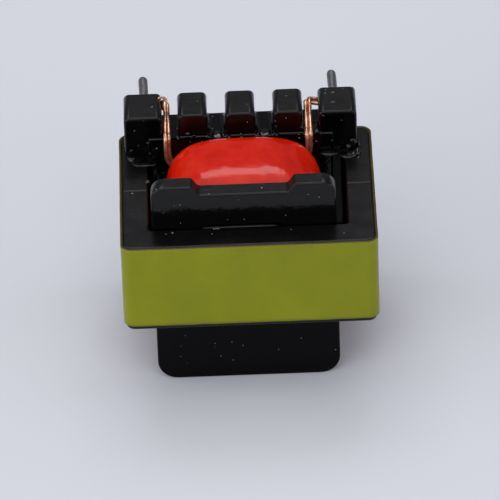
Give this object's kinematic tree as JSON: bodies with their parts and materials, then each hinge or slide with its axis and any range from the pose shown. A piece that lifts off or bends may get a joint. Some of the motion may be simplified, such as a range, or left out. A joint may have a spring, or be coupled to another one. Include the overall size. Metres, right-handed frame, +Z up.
{
  "type": "pcb transformer",
  "caption": "Small board-mount transformer: taped ferrite E cores, a flanged bobbin with slotted pin rails, a taped winding, wire leads and soldered pins.",
  "frame": {"origin": "middle of the four pins, on the plane of the rail feet that the board touches", "axes": "+Y along the pins, away from the windings; +Z up as the part lies; +X towards its right-hand pins"},
  "size_m": [0.0133, 0.0143, 0.0121],
  "materials": {
    "ferrite": "fired and tumbled, satin",
    "yellow_film": "wrapped polyester film, satin",
    "black_plastic": "moulded, varnished",
    "tinned_pin": "dull tin plate",
    "copper_wire": "enamelled, bright",
    "clear_film": "polyester film",
    "red_film": "wrapped polyester film, glossy",
    "solder": "dipped, smooth"
  },
  "bodies": {
    "root": {"core_front": "ferrite", "core_rear": "ferrite", "core_tape": "yellow_film", "bobbin": "black_plastic", "pin_upper_left": "tinned_pin", "pin_upper_right": "tinned_pin", "pin_lower_left": "tinned_pin", "pin_lower_right": "tinned_pin", "inner_winding": "copper_wire", "layer_tape": "clear_film", "outer_winding": "copper_wire", "winding_tape": "red_film", "lead_upper_left": "copper_wire", "lead_upper_right": "copper_wire", "lead_lower_left": "copper_wire", "lead_lower_right": "copper_wire", "solder_upper_left": "solder", "solder_upper_right": "solder", "solder_lower_left": "solder", "solder_lower_right": "solder"}
  },
  "joints": []
}
